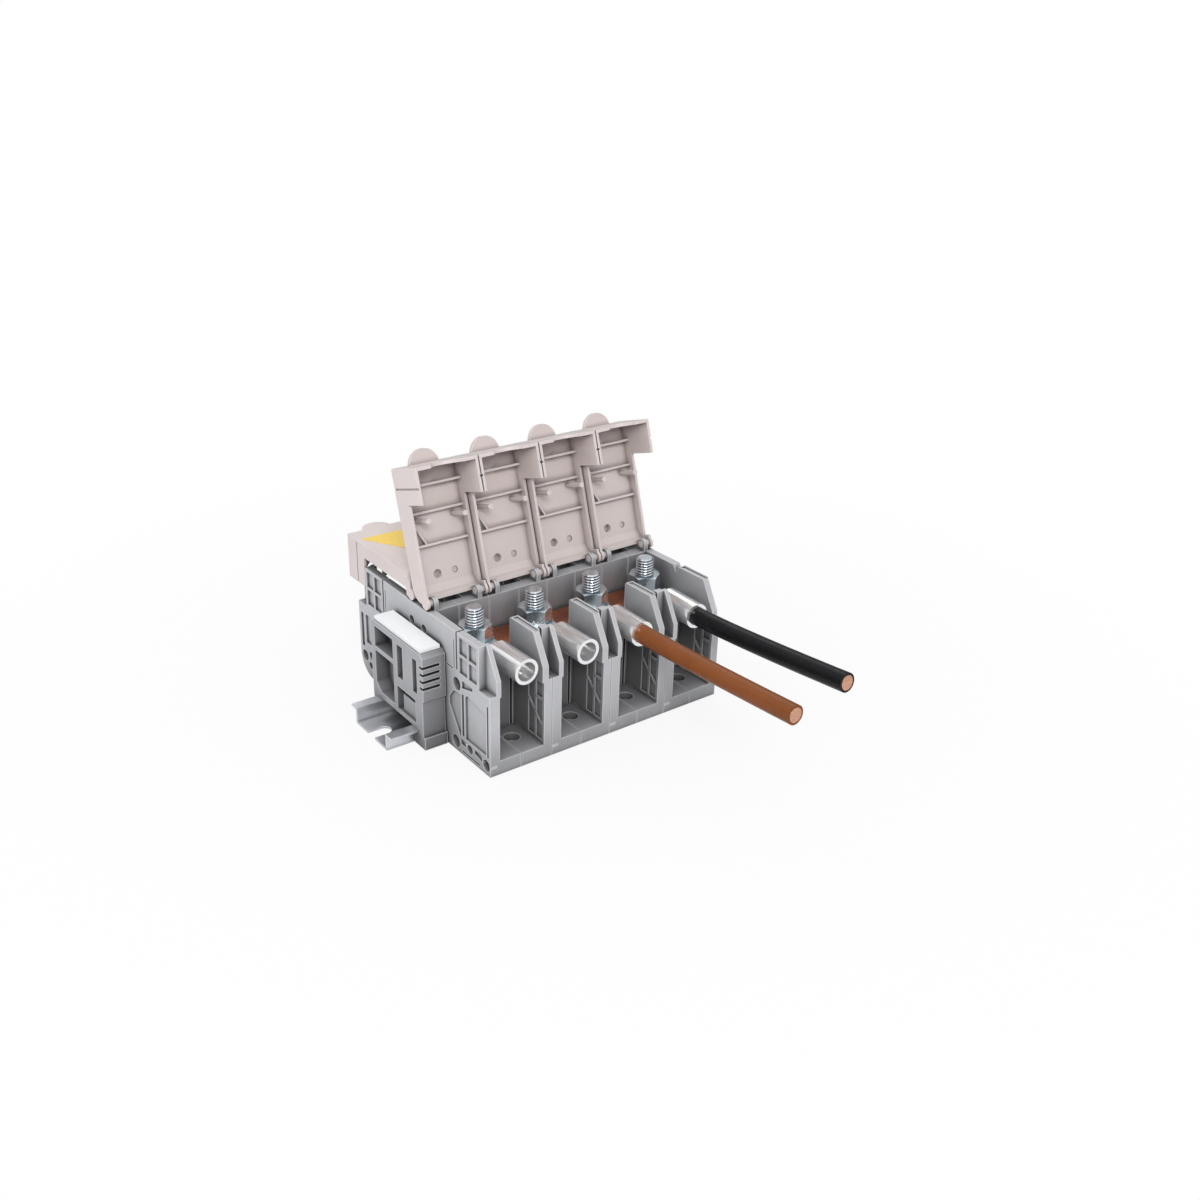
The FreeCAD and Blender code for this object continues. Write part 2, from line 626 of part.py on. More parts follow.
def build_rail():
    """Top-hat rail from folded sheet, with slots, cut off through one at its left end."""
    body = new_body("mounting_rail")
    left = f"{block_x(0)} - rail_left"
    right = f"{block_x(BLOCKS)} + rail_right"
    side = "rail_channel / 2"
    section = [
        ("-rail_width / 2", "rail_height - rail_sheet"),
        (f"-{side}", "rail_height - rail_sheet"),
        (f"-{side}", "0"),
        (side, "0"),
        (side, "rail_height - rail_sheet"),
        ("rail_width / 2", "rail_height - rail_sheet"),
        ("rail_width / 2", "rail_height"),
        (f"{side} - rail_sheet", "rail_height"),
        (f"{side} - rail_sheet", "rail_sheet"),
        (f"-{side} + rail_sheet", "rail_sheet"),
        (f"-{side} + rail_sheet", "rail_height"),
        ("-rail_width / 2", "rail_height"),
    ]
    pad(body, "YZ_Plane", left, right, section)
    half = "rail_slot_width / 2"
    end = f"{left} + rail_cut"
    through = ("-1", "rail_sheet + 1")
    cut(body, "XY_Plane", *through, box(f"{left} - 1", f"-{half}", f"{end} - {half}", half))
    cut(body, "XY_Plane", *through, ((f"{end} - {half}", "0"), half))
    step = value("rail_slot_pitch")
    number = 1
    while value(end) + number * step < value(right) - 1:
        far = f"{end} + {number} * rail_slot_pitch"
        near = f"{far} - rail_slot_length"
        cut(body, "XY_Plane", *through, box(f"{near} + {half}", f"-{half}", f"{far} - {half}", half))
        for centre in (f"{near} + {half}", f"{far} - {half}"):
            cut(body, "XY_Plane", *through, ((centre, "0"), half))
        number += 1
    pieces.append(body)


def build_bracket():
    """End bracket that clamps the row, with a marker strip snapped on its head."""
    body = new_body("end_bracket")
    outline = [
        ("-bracket_half - 0.6", "0"),
        ("-hook_tip", "0"),
        ("-hook_tip", HOOK_TOP),
        (f"-{RAIL_SIDE}", HOOK_TOP),
        (f"-{RAIL_SIDE}", RAIL_SEAT),
        (RAIL_SIDE, RAIL_SEAT),
        (RAIL_SIDE, HOOK_TOP),
        ("hook_tip", HOOK_TOP),
        ("hook_tip + 1", "2.4"),
        ("bracket_half - 1.5", "2.4"),
        ("bracket_half - 0.5", "7"),
        ("bracket_half - 0.5", "bracket_top - 1.5"),
        ("bracket_half - 2.2", "bracket_top"),
        ("-bracket_half + 2.2", "bracket_top"),
        ("-bracket_half", "bracket_top - 1.5"),
        ("-bracket_half", "22.5"),
        ("-bracket_half + 0.8", "22"),
        ("-bracket_half + 0.8", "5.6"),
        ("-bracket_half - 0.6", "5.6"),
    ]
    pad(body, "YZ_Plane", "0", "bracket_width", outline)
    deep = "bracket_width - bracket_web"
    upper_pocket = [("2.5", "31.5"), ("18.5", "31.5"), ("18.5", "41"), ("2.5", "41")]
    lower_pocket = [("2.5", "10.4"), ("14.5", "10.4"), ("18.5", "14"), ("18.5", "29.5"), ("2.5", "29.5")]
    near_slot = box("-5.6", "25", "-0.8", "40.4")
    far_slot = box("-17.2", "24", "-13.6", "39.6")
    foot_pocket = [("-15.4", "9.6"), ("0", "9.6"), ("0", "20.6"), ("-15.4", "20.6")]
    cut(body, "YZ_Plane", "-1", deep, upper_pocket, lower_pocket, near_slot, far_slot, foot_pocket)
    pad(body, "YZ_Plane", "1.4", f"{deep} + 0.5", box("-14", "9.2", "-3", "17.2"))
    for number in range(4):
        low = f"27.6 + {number} * 3.2"
        fin = box("-bracket_half - 1", low, "-bracket_half + 2.6", f"{low} + 1.3")
        cut(body, "YZ_Plane", "-1", "bracket_width - 2.6", fin)
    groove = box("1.6", "-strip_half + 1.5", "bracket_width - 1.6", "strip_half - 1.5")
    cut(body, "XY_Plane", "bracket_top - 1.2", "bracket_top + 1", groove)
    place(body, f"{block_x(0)} - bracket_gap - bracket_width")
    pieces.append(body)

    strip = new_body("marker_strip")
    middle = "bracket_width / 2"
    low_x = f"{middle} - strip_width / 2"
    high_x = f"{middle} + strip_width / 2"
    plate = box(low_x, "-strip_half", high_x, "strip_half")
    pad(strip, "XY_Plane", "bracket_top", "bracket_top + strip_thick", plate)
    foot = box("1.8", "-strip_half + 1.7", "bracket_width - 1.8", "strip_half - 1.7")
    pad(strip, "XY_Plane", "bracket_top - 1", "bracket_top + 0.5", foot)
    place(strip, f"{block_x(0)} - bracket_gap - bracket_width")
    pieces.append(strip)


def build_conductors():
    """The bar of each block, which carries its front and its rear stud."""
    bar = new_body("conductor_bar_1")
    low_x = "pitch / 2 - bed_width / 2"
    high_x = "pitch / 2 + bed_width / 2"
    outline = box(low_x, "-bed_half", high_x, "bed_half")
    holes = [((MIDDLE, f"{side}stud_y"), "stud_radius + hole_room") for side in ("-", "")]
    pad(bar, "XY_Plane", "deck", BAR_TOP, outline)
    cut(bar, "XY_Plane", "deck - 1", f"{BAR_TOP} + 1", *holes)
    place(bar, block_x(0))
    pieces.append(bar)
    for number in range(1, BLOCKS):
        pieces.append(copy_of(bar, f"conductor_bar_{number + 1}", block_x(number)))


def build_jumper():
    """Copper bar across the front studs of the whole row."""
    bar = new_body("cross_connection_bar")
    first = f"{block_x(0)} + pitch / 2"
    last = f"{block_x(BLOCKS - 1)} + pitch / 2"
    outline = box(f"{first} - jumper_over", "-stud_y - jumper_width / 2", f"{last} + jumper_over",
                  "-stud_y + jumper_width / 2")
    pad(bar, "XY_Plane", BAR_TOP, JUMPER_TOP, outline)
    for number in range(BLOCKS):
        centre = (f"{block_x(number)} + pitch / 2", "-stud_y")
        cut(bar, "XY_Plane", f"{BAR_TOP} - 1", f"{JUMPER_TOP} + 1", (centre, "stud_radius + hole_room"))
    pieces.append(bar)


def build_studs():
    """A stud, a nut and a washer at each end of each block."""
    stud = new_body("stud_front_1")
    pad(stud, "XY_Plane", "deck - head_thick", "deck", hexagon("0", "0", "head_across"))
    pad(stud, "XY_Plane", "deck - 1", "stud_top", (("0", "0"), "stud_radius"))
    top = value("stud_top")
    dress(stud, "Chamfer", "stud_tip", lambda edge: edge.ZMin > top - 0.01)

    nut = new_body("nut_front_1")
    pad(nut, "XY_Plane", NUT_FOOT, f"{NUT_FOOT} + nut_thick", hexagon("0", "0", "nut_across"))
    bore = (("0", "0"), "stud_radius + thread_room")
    cut(nut, "XY_Plane", f"{NUT_FOOT} - 1", f"{NUT_FOOT} + nut_thick + 1", bore)
    bevel_corners(nut)

    for number in range(BLOCKS):
        x = f"{block_x(number)} + pitch / 2"
        for side, y in (("front", "-stud_y"), ("rear", "stud_y")):
            lift = "0" if side == "front" else "-(jumper_thick + palm_thick)"
            for master, kind, z in ((stud, "stud", "0"), (nut, "nut", lift)):
                name = f"{kind}_{side}_{number + 1}"
                if master.Label == name:
                    body = master
                else:
                    body = new_body(name)
                    body.BaseFeature = master
                place(body, x, y, z)
                pieces.append(body)


def bevel_corners(nut):
    """Turn the corners of the nut off at both ends, with a revolved cut."""
    groove = nut.newObject("PartDesign::Groove", f"{nut.Name}_bevel")
    corner = "nut_across / 2 / cos(30) + 0.4"
    flat = "nut_across / 2 - 0.1"
    foot = NUT_FOOT
    head = f"{NUT_FOOT} + nut_thick"
    low = [(flat, f"{foot} - 0.1"), (corner, f"{foot} - 0.1"), (corner, f"{foot} + nut_chamfer")]
    high = [(flat, f"{head} + 0.1"), (corner, f"{head} - nut_chamfer"), (corner, f"{head} + 0.1")]
    sketch = draw(nut, "XZ_Plane", "0", [low, high])
    groove.Profile = sketch
    groove.ReferenceAxis = (sketch, ["V_Axis"])
    groove.Angle = 360
    return groove


def build_washers():
    """Sixteen-millimetre washers under the nuts, all alike."""
    rings = []
    for number in range(BLOCKS):
        for y, foot in (("-stud_y", PALM_TOP), ("stud_y", BAR_TOP)):
            outer = doc.addObject("Part::Cylinder", "washer_disc")
            inner = doc.addObject("Part::Cylinder", "washer_hole")
            outer.setExpression("Radius", bound("washer_radius"))
            inner.setExpression("Radius", bound("stud_radius + hole_room"))
            ring = doc.addObject("Part::Cut", "washer")
            ring.Base = outer
            ring.Tool = inner
            for disc in (outer, inner):
                disc.setExpression("Height", bound("washer_thick"))
            for axis, text in zip("xyz", (f"{block_x(number)} + pitch / 2", y, foot)):
                ring.setExpression(f"Placement.Base.{axis}", bound(text))
            rings.append(ring)
    group = doc.addObject("Part::Compound", "washers")
    group.Label = "washers"
    group.Links = rings
    pieces.append(group)


def build_lugs():
    """Tube lugs on the front studs: a flat palm, a taper and a round barrel."""
    lug = new_body("cable_lug_1")
    hole = (("0", "0"), "stud_radius + hole_room")
    flat = box("-palm_radius", "-taper_start + stud_y - 1", "palm_radius", "0")
    pad(lug, "XY_Plane", JUMPER_TOP, PALM_TOP, flat)
    pad(lug, "XY_Plane", JUMPER_TOP, PALM_TOP, (("0", "0"), "palm_radius"))
    barrel = (("0", "barrel_z"), "barrel_radius")
    near = "taper_start - stud_y"
    far = "barrel_start - stud_y"
    pad(lug, "XZ_Plane", near, "barrel_mouth - stud_y", barrel)
    chisel = [
        (f"-({far})", "barrel_z + barrel_radius"),
        (f"-({far})", "barrel_z + barrel_radius + 1"),
        (f"-({near}) + 1", "barrel_z + barrel_radius + 1"),
        (f"-({near}) + 1", PALM_TOP),
        (f"-({near})", PALM_TOP),
    ]
    cut(lug, "YZ_Plane", "-palm_radius", "palm_radius", chisel)
    wings = [
        ("-palm_radius", f"-({near}) + 0.5"),
        ("-palm_radius", f"-({near})"),
        ("-barrel_radius + 0.8", f"-({far}) - 1"),
        ("barrel_radius - 0.8", f"-({far}) - 1"),
        ("palm_radius", f"-({near})"),
        ("palm_radius", f"-({near}) + 0.5"),
    ]
    pad(lug, "XY_Plane", JUMPER_TOP, PALM_TOP, wings)
    bore = (("0", "barrel_z"), "barrel_bore")
    cut(lug, "XZ_Plane", "barrel_mouth - stud_y - barrel_depth", "barrel_mouth - stud_y + 1", bore)
    cut(lug, "XY_Plane", f"{JUMPER_TOP} - 1", f"{PALM_TOP} + 1", hole)
    turns = [1.0, 1.0, -2.0, -2.0]
    for number in range(BLOCKS):
        if number:
            body = new_body(f"cable_lug_{number + 1}")
            body.BaseFeature = lug
        else:
            body = lug
        body.Placement.Rotation = FreeCAD.Rotation(FreeCAD.Vector(0, 0, 1), turns[number])
        place(body, f"{block_x(number)} + pitch / 2", "-stud_y")
        pieces.append(body)


def cover_mould():
    """A closed cover, reaching towards +Y, with its hinge pins on X."""
    body = new_body("cover_rear_1")
    low_x = "cover_side_gap"
    high_x = "(pitch - cover_side_gap)"
    inner_low = "cover_side_gap + cheek"
    inner_high = "(pitch - cover_side_gap - cheek)"

    def spot(along, deep):
        return (f"hinge_y + {along}", f"{COVER_TOP} - ({deep})")

    outside = [
        spot("0", "0"),
        spot("cover_length", "0"),
        spot("cover_length", "hood_depth"),
        spot("box_start", "hood_depth"),
        spot("box_start", "cheek_depth"),
        spot("0", "cheek_depth"),
    ]
    pad(body, "YZ_Plane", low_x, high_x, outside)
    near = value("hinge_y")
    top = value(COVER_TOP)
    dress(body, "Fillet", "cover_bend",
          lambda edge: abs(edge.YMin - near) + abs(edge.YMax - near) + abs(edge.ZMin - top) < 0.01)
    inside = [
        spot("-1", "cover_rise - ear_radius - 0.4"),
        spot("cover_skin", "cover_rise - ear_radius - 0.4"),
        spot("cover_skin + 0.9", "cover_skin + 1.7"),
        spot("cover_bend - 0.6", "cover_skin"),
        spot("cover_length - cover_wall", "cover_skin"),
        spot("cover_length - cover_wall", "hood_depth + 1"),
        spot("-1", "hood_depth + 1"),
    ]
    cut(body, "YZ_Plane", inner_low, inner_high, inside)
    for start, end in ((low_x, f"{low_x} + 0.5"), (f"{high_x} - 0.5", high_x)):
        line = [
            spot("cross_rib + 0.2", "cover_skin - 0.6"),
            spot("cross_rib + 1", "cover_skin - 0.6"),
            spot("cross_rib + 1", "hood_depth + 1"),
            spot("cross_rib + 0.2", "hood_depth + 1"),
        ]
        cut(body, "YZ_Plane", start, end, line)
    # The cheek beside the grooved partition is cut lower.
    lower = [
        spot("low_cheek_start", "low_cheek_depth"),
        spot("box_start", "low_cheek_depth"),
        spot("box_start", "cheek_depth + 1"),
        spot("low_cheek_start", "cheek_depth + 1"),
    ]
    cut(body, "YZ_Plane", f"{low_x} - 0.5", f"{inner_low} + 0.1", lower)
    skin = f"{COVER_TOP} - cover_skin"
    side = "(block_gap / 2 + right_inset + right_wall + peg_room + peg_radius)"
    pegs = [((x, "hinge_y + peg_at"), "peg_radius") for x in (side, f"pitch - {side}")]
    pad(body, "XY_Plane", f"{COVER_TOP} - peg_depth", f"{skin} + 0.2", *pegs)
    (far_x, far_u), (near_x, near_u) = BRACE
    brace = [
        (f"pitch - {far_x}", f"hinge_y + {far_u}"),
        (f"pitch - {far_x} - brace_thick", f"hinge_y + {far_u}"),
        (f"pitch - {near_x} - brace_thick", f"hinge_y + {near_u}"),
        (f"pitch - {near_x}", f"hinge_y + {near_u}"),
    ]
    pad(body, "XY_Plane", f"{COVER_TOP} - rib_depth", f"{skin} + 0.2", brace)
    ribs = [("rib_near", "rib_depth"), ("rib_far", "rib_depth"), ("cross_rib", "cross_rib_depth")]
    for along, deep in ribs:
        rib = [
            spot(along, "cover_skin - 0.2"),
            spot(f"{along} + rib_thick", "cover_skin - 0.2"),
            spot(f"{along} + rib_thick", deep),
            spot(along, deep),
        ]
        pad(body, "YZ_Plane", f"{inner_low} - 0.2", f"{inner_high} + 0.2", rib)
    arch = ((MIDDLE, "barrel_z"), "arch_radius")
    opening = box(f"{MIDDLE} - arch_radius", "barrel_z - 10", f"{MIDDLE} + arch_radius", "barrel_z")
    rear_face = "-hinge_y - cover_length"
    for shape in (arch, opening):
        cut(body, "XZ_Plane", f"{rear_face} - 1", f"{rear_face} + cover_wall + 0.3", shape)
    slot = box(f"{MIDDLE} - 1.5", f"{COVER_TOP} - 4.6", f"{MIDDLE} + 7", f"{COVER_TOP} - cover_skin - 0.4")
    cut(body, "XZ_Plane", "-hinge_y - cross_rib - rib_thick - 0.1", "-hinge_y - cross_rib + 0.1", slot)
    tab = ((MIDDLE, "hinge_y + cover_length + tab_reach - tab_radius"), "tab_radius")
    pad(body, "XY_Plane", f"{COVER_TOP} - tab_thick", COVER_TOP, tab)
    hole = (f"{MIDDLE} + 3", "hinge_y + test_hole_u")
    cut(body, "XY_Plane", f"{COVER_TOP} - cover_skin - 1", f"{COVER_TOP} + 1", (hole, "test_hole"))
    dimple = (f"{MIDDLE} - 5.5", "hinge_y + test_hole_u")
    cut(body, "XY_Plane", f"{skin} - 1", f"{skin} + 0.7", (dimple, "1.5"))
    hub = ("hinge_y", "hinge_z")
    for start, end in ((low_x, inner_low), (inner_high, high_x)):
        pad(body, "YZ_Plane", start, end, (hub, "boss_radius"))
    reach = "ear_start + ear_thick + 0.3"
    pad(body, "YZ_Plane", f"{inner_low} - 0.2", reach, (hub, "pin_radius"))
    pad(body, "YZ_Plane", f"pitch - ({reach})", f"{inner_high} + 0.2", (hub, "pin_radius"))
    return body


def label_mould():
    """A thin triangular label on the outer face of a closed cover."""
    body = new_body("label_rear_1")
    base = "hinge_y + label_base"
    corners = [
        (f"{MIDDLE} - label_half", base),
        (f"{MIDDLE} + label_half", base),
        (f"{MIDDLE} + 0.4", f"{base} - label_length"),
        (f"{MIDDLE} - 0.4", f"{base} - label_length"),
    ]
    pad(body, "XY_Plane", COVER_TOP, f"{COVER_TOP} + label_thick", corners)
    return body


def build_covers():
    """Eight alike: the rear ones are shut, the front ones stand open against their stop."""
    cover = cover_mould()
    label = label_mould()
    swing = FreeCAD.Rotation(FreeCAD.Vector(1, 0, 0), -value("open_angle"))
    half_turn = FreeCAD.Rotation(FreeCAD.Vector(0, 0, 1), 180)
    for number in range(BLOCKS):
        for master, kind in ((cover, "cover"), (label, "label")):
            name = f"{kind}_rear_{number + 1}"
            body = master if master.Label == name else new_body(name)
            if body is not master:
                body.BaseFeature = master
            place(body, block_x(number))
            pieces.append(body)
            front = new_body(f"{kind}_front_{number + 1}")
            front.BaseFeature = master
            front.Placement.Rotation = swing.multiply(half_turn)
            # A point on the hinge axis stays where it is while the cover swings.
            place(
                front,
                block_x(number + 1),
                "-hinge_y + hinge_y * cos(open_angle) - hinge_z * sin(open_angle)",
                "hinge_z - hinge_y * sin(open_angle) - hinge_z * cos(open_angle)",
            )
            pieces.append(front)


def build_cables():
    """Two stiff cable ends: each a bare core in its insulation, nearly straight."""
    tails = [
        ("brown", 2, [(-1.11, -52.2, 44.4), (-1.9, -75.0, 44.4), (-0.9, -142.5, 47.3)]),
        ("black", 3, [(-1.11, -52.2, 44.4), (-1.9, -75.0, 44.4), (-0.9, -139.5, 49.8)]),
    ]
    entry = value("barrel_mouth - cable_entry")
    for colour, number, route in tails:
        middle = value(f"{block_x(number)} + pitch / 2")
        points = [FreeCAD.Vector(middle + x, y, z) for x, y, z in route]
        points[0].y = -entry
        jacket_path = soft_path(points)
        jacket = tube(jacket_path, points, value("cable_radius"))
        core = tube(jacket_path, points, value("core_radius"))
        shell = doc.addObject("Part::Feature", f"cable_{colour}_insulation")
        shell.Shape = jacket.cut(core)
        inner = doc.addObject("Part::Feature", f"cable_{colour}_core")
        inner.Shape = core
        pieces.extend([shell, inner])


def soft_path(points):
    """Straight runs joined by the largest arcs that they allow."""
    edges = []
    here = points[0]
    for before, corner, after in zip(points, points[1:], points[2:]):
        arrive = (corner - before).normalize()
        leave = (after - corner).normalize()
        turn = arrive.getAngle(leave)
        reach = 0.45 * min((corner - before).Length, (after - corner).Length)
        radius = reach / (1e-9 + abs(math.tan(turn / 2)))
        start = corner - arrive * reach
        end = corner + leave * reach
        bend = (leave - arrive).normalize()
        depth = radius * (1 / math.cos(turn / 2) - 1)
        edges.append(Part.LineSegment(here, start).toShape())
        edges.append(Part.Arc(start, corner + bend * depth, end).toShape())
        print(f"cable bend radius {radius:.0f} mm")
        here = end
    edges.append(Part.LineSegment(here, points[-1]).toShape())
    return Part.Wire(edges)


def tube(path, points, radius):
    """A round tube along a path."""
    ring = Part.Wire(Part.Circle(points[0], points[1] - points[0], radius).toShape())
    return path.makePipeShell([ring], True, False)


def check_and_write():
    """Stop at any failed object or bad shape, then write one STEP file a piece."""
    doc.recompute()
    for item in doc.Objects:
        if "Invalid" in item.State or "Error" in item.State:
            raise SystemExit(f"{item.Label} failed: {item.State}")
    for piece in pieces:
        shape = Part.getShape(piece)
        if shape.isNull() or not shape.isValid():
            raise SystemExit(f"{piece.Label} has no valid shape")
        if "washers" not in piece.Label and len(shape.Solids) != 1:
            raise SystemExit(f"{piece.Label} has {len(shape.Solids)} solids")
        shape.exportStep(f"parts/{piece.Label}.step")
    print(f"{len(pieces)} pieces")


build_rail()
build_bracket()
build_shells()
build_conductors()
build_jumper()
build_studs()
build_washers()
build_lugs()
build_covers()
build_cables()
check_and_write()
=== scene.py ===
"""Looks of a row of stud terminal blocks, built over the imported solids."""
import math

import bpy
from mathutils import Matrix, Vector


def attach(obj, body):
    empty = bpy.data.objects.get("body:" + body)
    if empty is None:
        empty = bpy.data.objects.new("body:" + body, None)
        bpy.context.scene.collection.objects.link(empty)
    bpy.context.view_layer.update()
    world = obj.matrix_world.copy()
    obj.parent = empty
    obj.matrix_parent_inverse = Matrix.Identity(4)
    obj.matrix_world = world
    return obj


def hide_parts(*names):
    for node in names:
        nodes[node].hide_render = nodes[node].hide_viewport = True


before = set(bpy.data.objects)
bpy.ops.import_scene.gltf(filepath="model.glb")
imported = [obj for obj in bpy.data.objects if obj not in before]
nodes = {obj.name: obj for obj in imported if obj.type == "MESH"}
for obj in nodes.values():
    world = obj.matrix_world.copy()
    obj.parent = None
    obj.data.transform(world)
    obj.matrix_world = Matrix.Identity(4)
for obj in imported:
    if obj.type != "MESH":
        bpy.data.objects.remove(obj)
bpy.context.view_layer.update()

# Sizes in millimetres, which MM turns into metres
MM = 0.001
BLOCKS = 4
PITCH = 30.0
STUD_Y = 20.5
STUD_RADIUS = 4.0
STUD_TOP = 58.4
STUD_BEVEL = 0.9
DECK = 33.6
HEAD_ACROSS_FLATS = 13.0
HEAD_HEIGHT = 5.0
HEAD_BEVEL_HEIGHT = 0.4
HEAD_TOP_RADIUS = 6.1
THREAD_PITCH = 1.25
THREAD_DEPTH = 0.62
CABLE_RADIUS = 4.0
CUT_RADIUS = 3.0
CUT_DEPTH = 3.0
CUT_PROUD = 0.15
# Reach of the painted edge highlight, in millimetres
RIM_REACH = 0.55
LEVEL_SLACK = 0.001

# How finely the threads and cables are divided; the angle is in degrees
THREAD_STEPS = 40
ROWS_PER_TURN = 8
HEAD_SIDES = 6
SHARP_ANGLE = 40
CURVE_STEPS = 24
CURVE_ROUNDNESS = 10

# Flat root and sloping flank of a thread's tooth, as shares of half its pitch
TOOTH_ROOT = 0.1
TOOTH_FLANK = 0.8

# Samples of the shading nodes
BEVEL_SAMPLES = 4
OPENNESS_SAMPLES = 8

# Sockets of the colour mix node
MIX_SHARE, MIX_FIRST, MIX_SECOND = 0, 6, 7
MIX_RESULT = 2

# Camera fitted to the photograph, in metres, degrees and shares of the frame
CAMERA_PLACE = (-0.283528, -0.401398, 0.272919)
CAMERA_DIP = 23.573
CAMERA_TURN = -34.229
CAMERA_SENSOR = 36.0
CAMERA_LENS = 36.694
CAMERA_SHIFT = (0.06988, -0.0297)
CAMERA_NEAR = 0.01

# Floor, in metres: it lies just under the part
FLOOR_HALF = 6
FLOOR_DROP = 0.0002


# Materials

def material(name):
    """An empty material with its node tree and its shader."""
    made = bpy.data.materials.new(name)
    made.use_nodes = True
    tree = made.node_tree
    tree.nodes.clear()
    out = tree.nodes.new("ShaderNodeOutputMaterial")
    shader = tree.nodes.new("ShaderNodeBsdfPrincipled")
    tree.links.new(shader.outputs["BSDF"], out.inputs["Surface"])
    return made, tree, shader


def noise(tree, scale, detail=4.0, rough=0.5, stretch=(1, 1, 1)):
    """Noise over the object's own coordinates, in metres."""
    place = tree.nodes.new("ShaderNodeTexCoord")
    mapping = tree.nodes.new("ShaderNodeMapping")
    mapping.inputs["Scale"].default_value = stretch
    made = tree.nodes.new("ShaderNodeTexNoise")
    made.inputs["Scale"].default_value = scale
    made.inputs["Detail"].default_value = detail
    made.inputs["Roughness"].default_value = rough
    tree.links.new(place.outputs["Object"], mapping.inputs["Vector"])
    tree.links.new(mapping.outputs["Vector"], made.inputs["Vector"])
    return made.outputs["Fac"]


def ramp(tree, value, stops):
    """Colours or greys by a value: stops are (position, colour or grey)."""
    made = tree.nodes.new("ShaderNodeValToRGB")
    band = made.color_ramp
    while len(band.elements) < len(stops):
        band.elements.new(0.5)
    for element, (at, colour) in zip(band.elements, stops):
        if isinstance(colour, (int, float)):
            colour = (colour, colour, colour)
        element.position = at
        element.color = (*colour, 1)
    tree.links.new(value, made.inputs["Fac"])
    return made.outputs["Color"]


def soft_edges(tree, radius):
    """A normal that rounds the edges of a moulding or a pressing."""
    made = tree.nodes.new("ShaderNodeBevel")
    made.samples = BEVEL_SAMPLES
    made.inputs["Radius"].default_value = radius * MM
    return made.outputs["Normal"]


def bump(tree, height, depth, normal=None):
    """A normal that rises and falls with a height, over a depth in millimetres."""
    made = tree.nodes.new("ShaderNodeBump")
    made.inputs["Distance"].default_value = depth * MM
    made.inputs["Strength"].default_value = 1.0
    tree.links.new(height, made.inputs["Height"])
    if normal:
        tree.links.new(normal, made.inputs["Normal"])
    return made.outputs["Normal"]


def shades(colour, spread):
    """A darker neighbour of a colour, the colour itself and a lighter neighbour."""
    return [tuple(min(1.0, c * f) for c in colour) for f in (1 - spread, 1.0, 1 + spread)]


def blended(tree, kind, share, first, second):
    """Two colours mixed by a share, which is a number or another node's output."""
    made = tree.nodes.new("ShaderNodeMix")
    made.data_type = "RGBA"
    made.blend_type = kind
    if isinstance(share, float):
        made.inputs[MIX_SHARE].default_value = share
    else:
        tree.links.new(share, made.inputs[MIX_SHARE])
    for socket, source in ((made.inputs[MIX_FIRST], first), (made.inputs[MIX_SECOND], second)):
        if isinstance(source, tuple):
            socket.default_value = (*source, 1)
        else:
            tree.links.new(source, socket)
    return made.outputs[MIX_RESULT]


def openness(tree, reach, inside=False):
    """How open the surface is within a reach in millimetres: 1 is open.

    Measured inside the solid, it falls at outer edges and thin ribs.
    """
    made = tree.nodes.new("ShaderNodeAmbientOcclusion")
    made.samples = OPENNESS_SAMPLES
    made.inside = inside
    made.only_local = inside
    made.inputs["Distance"].default_value = reach * MM
    return made.outputs["AO"]


def painted_shade_and_highlight(tree, colour, reaches, light):
    """A colour with painted shade in recesses and joints and a painted highlight on the outer edges.

    Each reach is (millimetres, how dark the painted shade gets in the deepest places); light is the share
    of white painted at an edge as a highlight.
    """
    for reach, dark in reaches:
        # Painted shade: darker where the surface is less open
        recess_shade = ramp(tree, openness(tree, reach), [(0.25, dark), (0.9, 1.0)])
        colour = blended(tree, "MULTIPLY", 1.0, colour, recess_shade)
    if light:
        # Painted highlight: whiter towards the outer edges
        rim_highlight = ramp(tree, openness(tree, RIM_REACH, inside=True), [(0.6, light), (0.95, 0.0)])
        colour = blended(tree, "MIX", rim_highlight, colour, (0.9, 0.9, 0.9))
    return colour


def plastic(name, colour, rough, spread=0.05, grain=0.012, edge=0.25,
            reaches=((3.0, 0.35), (30.0, 0.28)), light=0.36, gloss=0.45):
    """Moulded plastic: flow clouds, a fine grain, soft edges, painted shade in recesses and a painted
    highlight on edges.
    """
    made, tree, shader = material(name)
    low, mid, high = shades(colour, spread)
    flow = noise(tree, scale=60.0, detail=5.0, rough=0.6)
    clouds = ramp(tree, flow, [(0.3, low), (0.5, mid), (0.75, high)])
    # Base colour with painted shade in recesses and joints and a painted highlight on outer edges
    tree.links.new(painted_shade_and_highlight(tree, clouds, reaches, light), shader.inputs["Base Color"])
    fine = noise(tree, scale=2600.0, detail=3.0, rough=0.6)
    tree.links.new(bump(tree, fine, grain, soft_edges(tree, edge)), shader.inputs["Normal"])
    patches = noise(tree, scale=180.0, detail=3.0, rough=0.6)
    sheen = ramp(tree, patches, [(0.3, rough - 0.06), (0.7, rough + 0.08)])
    tree.links.new(sheen, shader.inputs["Roughness"])
    shader.inputs["Specular IOR Level"].default_value = gloss
    return made


